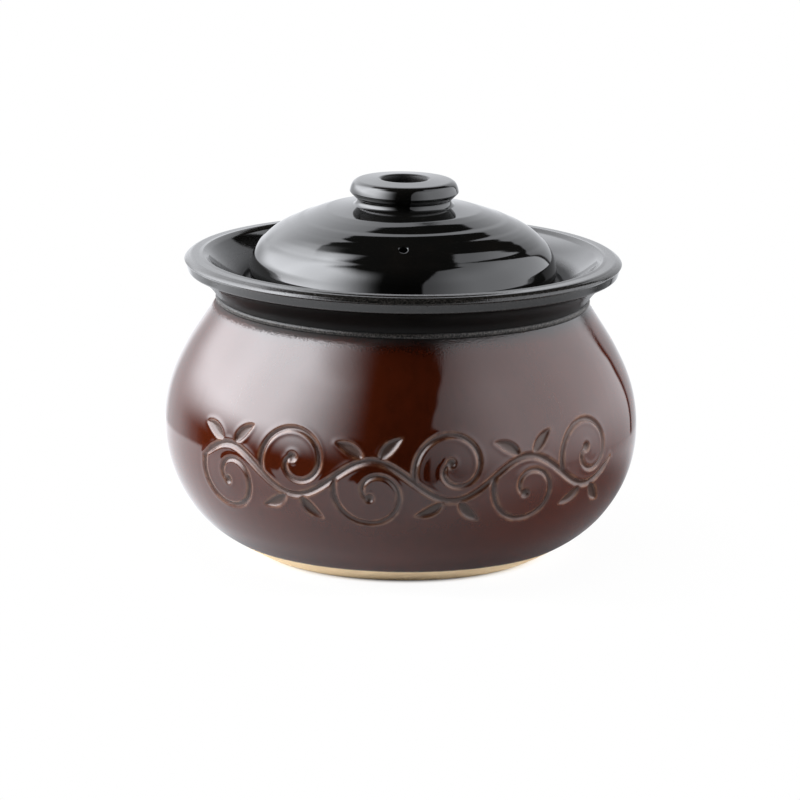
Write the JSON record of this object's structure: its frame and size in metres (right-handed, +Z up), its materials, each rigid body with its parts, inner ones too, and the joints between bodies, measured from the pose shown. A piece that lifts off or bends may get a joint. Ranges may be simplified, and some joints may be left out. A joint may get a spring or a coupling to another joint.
{
  "type": "lidded clay soup pot",
  "caption": "Squat round clay soup pot with a bare foot, glossy belly, flared collar and a domed lid that lifts off by a ring knob.",
  "frame": {"origin": "centre of the flat foot, on the surface that the pot stands on", "axes": "+Z up along the axis that every piece is turned about; -Y is the front, where the lid's vent hole is"},
  "size_m": [0.17, 0.17, 0.1343],
  "materials": {
    "bare_clay": "matt unglazed fired clay",
    "brown_glaze": "glossy dark red-brown glaze",
    "black_glaze": "glossy black glaze"
  },
  "bodies": {
    "pot": {"pot_base": "bare_clay", "pot_belly": "brown_glaze", "neck_coil": "black_glaze", "pot_collar": "black_glaze"},
    "lid": {"lid_dome": "black_glaze", "lid_knob": "black_glaze"}
  },
  "joints": [
    {"name": "lid_lift", "type": "slide", "parent": "pot", "child": "lid", "axis": [0, 0, 1], "range_m": [0, 0.12]}
  ]
}
